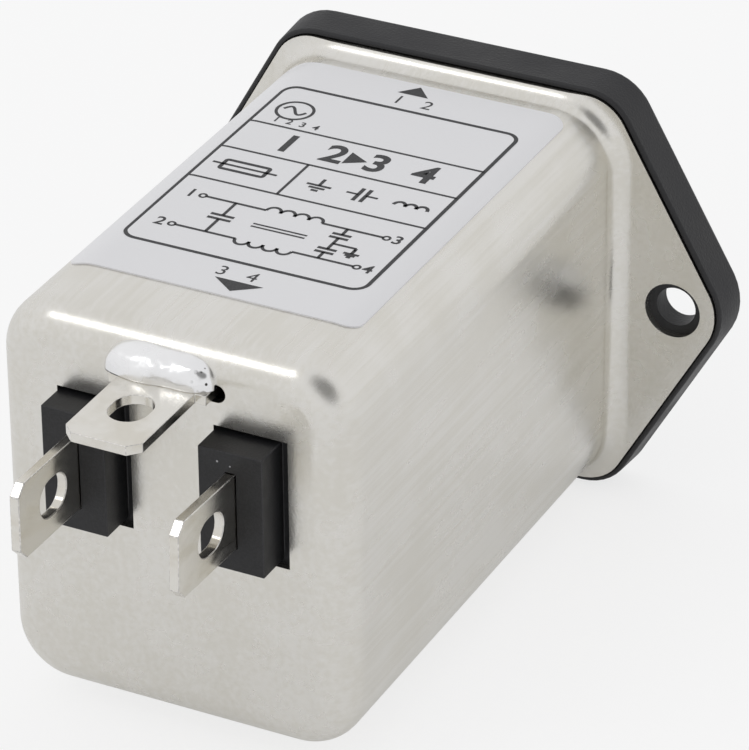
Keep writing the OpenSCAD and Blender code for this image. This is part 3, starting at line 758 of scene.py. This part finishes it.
def circuitStrokes():
    # the filter's circuit: coupled coils, one capacitor across, two to earth
    thin = 0.27
    top, bottom = 20.6, 15.6
    middle = (top + bottom) / 2
    left, right = -7.6, 7.6
    strokes = []
    for v, up in ((top, 1), (bottom, -1)):
        strokes.append((line(left, v, -2.4, v), thin))
        strokes.append((coilHumps(-2.4, v, 1.2, 4, 1.15 * up), thin))
        strokes.append((line(2.4, v, right, v), thin))
        strokes.append((arc(left - 0.28, v, 0.28, 0, 360, 16), 0.2))
        strokes.append((arc(right + 0.28, v, 0.28, 0, 360, 16), 0.2))
    for dv in (-0.22, 0.22):
        strokes.append((line(-2.3, middle + dv, 2.3, middle + dv), 0.2))
    strokes.append((line(-5.0, top, -5.0, middle + 0.3), thin))
    strokes.append((line(-5.0, bottom, -5.0, middle - 0.3), thin))
    for dv in (-0.3, 0.3):
        strokes.append((line(-6.0, middle + dv, -4.0, middle + dv), 0.32))
    for v, side in ((top, 1), (bottom, -1)):
        strokes.append((line(4.6, v, 4.6, v - side * 1.0), thin))
        strokes.append((line(3.8, v - side * 1.0, 5.4, v - side * 1.0), 0.32))
        strokes.append((line(3.8, v - side * 1.55, 5.4, v - side * 1.55), 0.32))
        strokes.append((line(4.6, v - side * 1.55, 4.6, middle), thin))
    strokes.append((line(4.6, middle, 6.6, middle), thin))
    strokes.append((line(6.6, middle, 6.6, middle - 0.4), thin))
    return strokes + earthSymbol(6.6, middle - 0.9, 0.62)


def makeStrokeTree():
    # ribbons along edges: the edges become a curve that carries a flat strip
    tree = bpy.data.node_groups.new("inkRibbon", "GeometryNodeTree")
    tree.interface.new_socket(name="Geometry", in_out="INPUT", socket_type="NodeSocketGeometry")
    tree.interface.new_socket(name="Width", in_out="INPUT", socket_type="NodeSocketFloat")
    tree.interface.new_socket(name="Ink", in_out="INPUT", socket_type="NodeSocketMaterial")
    tree.interface.new_socket(name="Geometry", in_out="OUTPUT", socket_type="NodeSocketGeometry")
    start = tree.nodes.new("NodeGroupInput")
    end = tree.nodes.new("NodeGroupOutput")
    path = tree.nodes.new("GeometryNodeMeshToCurve")
    upright = tree.nodes.new("GeometryNodeSetCurveNormal")
    upright.mode = "Z_UP"
    halfWidth = addNode(tree, "ShaderNodeMath", operation="MULTIPLY")
    halfWidth.inputs[1].default_value = 0.5
    minus = addNode(tree, "ShaderNodeMath", operation="MULTIPLY")
    minus.inputs[1].default_value = -0.5
    right = tree.nodes.new("ShaderNodeCombineXYZ")
    left = tree.nodes.new("ShaderNodeCombineXYZ")
    strip = tree.nodes.new("GeometryNodeCurvePrimitiveLine")
    sweep = tree.nodes.new("GeometryNodeCurveToMesh")
    real = tree.nodes.new("GeometryNodeRealizeInstances")
    paint = tree.nodes.new("GeometryNodeSetMaterial")
    links = tree.links
    links.new(start.outputs["Geometry"], path.inputs["Mesh"])
    links.new(path.outputs["Curve"], upright.inputs["Curve"])
    links.new(start.outputs["Width"], halfWidth.inputs[0])
    links.new(start.outputs["Width"], minus.inputs[0])
    links.new(halfWidth.outputs[0], right.inputs["X"])
    links.new(minus.outputs[0], left.inputs["X"])
    links.new(left.outputs[0], strip.inputs["Start"])
    links.new(right.outputs[0], strip.inputs["End"])
    links.new(upright.outputs["Curve"], sweep.inputs["Curve"])
    links.new(strip.outputs["Curve"], sweep.inputs["Profile Curve"])
    links.new(sweep.outputs["Mesh"], real.inputs["Geometry"])
    links.new(real.outputs["Geometry"], paint.inputs["Geometry"])
    links.new(start.outputs["Ink"], paint.inputs["Material"])
    links.new(paint.outputs["Geometry"], end.inputs["Geometry"])
    return tree


def inputKey(tree, name):
    return next(item.identifier for item in tree.interface.items_tree
                if item.item_type == "SOCKET" and item.in_out == "INPUT" and item.name == name)


def flattened(holder):
    # an object's finished shape as a plain mesh; the object itself goes
    bpy.context.view_layer.update()
    shown = holder.evaluated_get(bpy.context.evaluated_depsgraph_get())
    result = bpy.data.meshes.new_from_object(shown)
    bpy.data.objects.remove(holder)
    return result


def ribbonMesh(tree, strokes, width):
    work = bmesh.new()
    for points in strokes:
        row = [work.verts.new(onLabel(u, v)) for u, v in points]
        for a, b in zip(row, row[1:]):
            work.edges.new((a, b))
    mesh = bpy.data.meshes.new("strokes")
    work.to_mesh(mesh)
    work.free()
    holder = bpy.data.objects.new("strokes", mesh)
    bpy.context.scene.collection.objects.link(holder)
    made = holder.modifiers.new("ribbon", "NODES")
    made.node_group = tree
    made[inputKey(tree, "Width")] = width * mm
    made[inputKey(tree, "Ink")] = labelInk
    return flattened(holder)


def numberMesh(text, u, v, size, thicken):
    # plain numbers, centred on (u, v), as flat shapes laid on the label
    data = bpy.data.curves.new("number", "FONT")
    data.body = text
    data.size = size * mm
    data.offset = thicken * mm
    data.align_x = "CENTER"
    data.align_y = "CENTER"
    holder = bpy.data.objects.new("number", data)
    bpy.context.scene.collection.objects.link(holder)
    mesh = flattened(holder)
    for vertex in mesh.vertices:
        vertex.co = onLabel(u + vertex.co.x / mm, v + vertex.co.y / mm)
    return mesh


def filledMesh(points):
    mesh = bpy.data.meshes.new("filled")
    mesh.from_pydata([onLabel(u, v) for u, v in points], [], [list(range(len(points)))])
    return mesh


# text, place u and v, size, and how much its strokes are thickened
labelNumbers = [
    ("1  2", -3.9, 30.95, 3.9, 0.09),
    ("3  4", 3.9, 30.95, 3.9, 0.09),
    ("1", -8.9, 20.6, 1.7, 0.03),
    ("2", -8.9, 15.6, 1.7, 0.03),
    ("3", 8.8, 20.6, 1.7, 0.03),
    ("4", 8.8, 15.6, 1.7, 0.03),
    ("1   2", -0.3, 41.55, 1.9, 0.0),
    ("3   4", 0.35, 10.75, 1.9, 0.0),
    ("1  2  3  4", -7.0, 34.35, 1.1, 0.02),
]
labelArrows = [
    [(-2.25, 42.75), (0.45, 42.75), (-0.9, 44.25)],
    [(-1.0, 9.75), (1.05, 8.25), (3.1, 9.75)],
    [(-0.75, 29.95), (1.0, 30.95), (-0.75, 31.95)],
]


def makeLabelPrint():
    tree = makeStrokeTree()
    widths = {}
    for points, width in symbolStrokes():
        widths.setdefault(width, []).append(points)
    parts = [ribbonMesh(tree, strokes, width) for width, strokes in widths.items()]
    parts += [numberMesh(*item) for item in labelNumbers]
    parts += [filledMesh(points) for points in labelArrows]
    work = bmesh.new()
    for part in parts:
        work.from_mesh(part)
    for face in work.faces:
        face.normal_update()
        if face.normal.z < 0:
            face.normal_flip()
        face.material_index = 0
    mesh = bpy.data.meshes.new("labelPrint")
    work.to_mesh(mesh)
    work.free()
    mesh.materials.append(labelInk)
    piece = bpy.data.objects.new("labelPrint", mesh)
    bpy.context.scene.collection.objects.link(piece)
    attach(piece, "root")
    return piece


inkPiece = makeLabelPrint()
print("label printed:", len(inkPiece.data.polygons), "faces")


studio = {
    "world": 0.86,
    "gapPlace": Vector((-0.567, 0.381, 0.65)),
    "gapReach": (0.86, 0.97),
    "gapColor": (0.25, 0.25, 0.25),
    "floorSize": 3.0,
    "floorDrop": 0.2 * mm,
    "floorColor": (0.9, 0.9, 0.9, 1),
    "keyPlace": Vector((0.39, 0.50, 0.77)),
    "keyDistance": 0.62,
    "keySize": 0.12,
    "keyPower": 0.16,
    "floorShownWhite": 0.75,
    "floorMirroredWhite": 0.3,
}


def makeFloor():
    material = bpy.data.materials.new("paleFloor")
    material.use_nodes = True
    tree = material.node_tree
    tree.nodes.clear()
    output = tree.nodes.new("ShaderNodeOutputMaterial")
    matte = addNode(tree, "ShaderNodeBsdfDiffuse", Color=studio["floorColor"])
    glow = addNode(tree, "ShaderNodeEmission", Color=(1, 1, 1, 1), Strength=1.0)
    rays = tree.nodes.new("ShaderNodeLightPath")
    straight = mathNode(tree, "MAXIMUM", rays.outputs["Is Camera Ray"], rays.outputs["Is Transmission Ray"])
    mirrored = mathNode(tree, "MULTIPLY", rays.outputs["Is Glossy Ray"], studio["floorMirroredWhite"])
    seen = mathNode(tree, "MULTIPLY_ADD", straight, studio["floorShownWhite"], mirrored)
    mix = tree.nodes.new("ShaderNodeMixShader")
    tree.links.new(seen, mix.inputs[0])
    tree.links.new(matte.outputs[0], mix.inputs[1])
    tree.links.new(glow.outputs[0], mix.inputs[2])
    tree.links.new(mix.outputs[0], output.inputs["Surface"])
    half = studio["floorSize"] / 2
    mesh = bpy.data.meshes.new("floor")
    z = cadLow.z - studio["floorDrop"]
    corners = [(-half, -half, z), (half, -half, z), (half, half, z), (-half, half, z)]
    mesh.from_pydata(corners, [], [(0, 1, 2, 3)])
    mesh.materials.append(material)
    floor = bpy.data.objects.new("floor", mesh)
    bpy.context.scene.collection.objects.link(floor)


def makeWorld():
    world = bpy.data.worlds.new("studioWorld")
    bpy.context.scene.world = world
    world.use_nodes = True
    tree = world.node_tree
    tree.nodes.clear()
    output = tree.nodes.new("ShaderNodeOutputWorld")
    sky = tree.nodes.new("ShaderNodeBackground")
    white = tree.nodes.new("ShaderNodeBackground")
    white.inputs["Color"].default_value = (1, 1, 1, 1)
    direction = tree.nodes.new("ShaderNodeTexCoord").outputs["Generated"]
    # a darker patch of sky, above the camera and a little to its right
    gap = addNode(tree, "ShaderNodeVectorMath", operation="DOT_PRODUCT")
    tree.links.new(direction, gap.inputs[0])
    gap.inputs[1].default_value = studio["gapPlace"].normalized()
    shade = ramp(tree, gap.outputs["Value"], 0, 1, *studio["gapReach"])
    level = studio["world"]
    bright = (level, level, level * 1.01)
    color = mixColor(tree, shade, bright, studio["gapColor"])
    tree.links.new(color, sky.inputs["Color"])
    rays = tree.nodes.new("ShaderNodeLightPath")
    mix = tree.nodes.new("ShaderNodeMixShader")
    tree.links.new(rays.outputs["Is Camera Ray"], mix.inputs[0])
    tree.links.new(sky.outputs[0], mix.inputs[1])
    tree.links.new(white.outputs[0], mix.inputs[2])
    tree.links.new(mix.outputs[0], output.inputs["Surface"])


def areaLamp(name, direction, distance, size, power):
    data = bpy.data.lights.new(name, "AREA")
    data.shape = "SQUARE"
    data.size = size
    data.energy = power
    lamp = bpy.data.objects.new(name, data)
    centre = (cadLow + cadHigh) / 2
    toward = direction.normalized()
    lamp.location = centre + toward * distance
    lamp.rotation_euler = toward.to_track_quat("Z", "Y").to_euler()
    bpy.context.scene.collection.objects.link(lamp)


makeFloor()
makeWorld()
areaLamp("keyLamp", studio["keyPlace"], studio["keyDistance"], studio["keySize"], studio["keyPower"])
bpy.context.scene.view_settings.view_transform = "Standard"
print("studio lit")
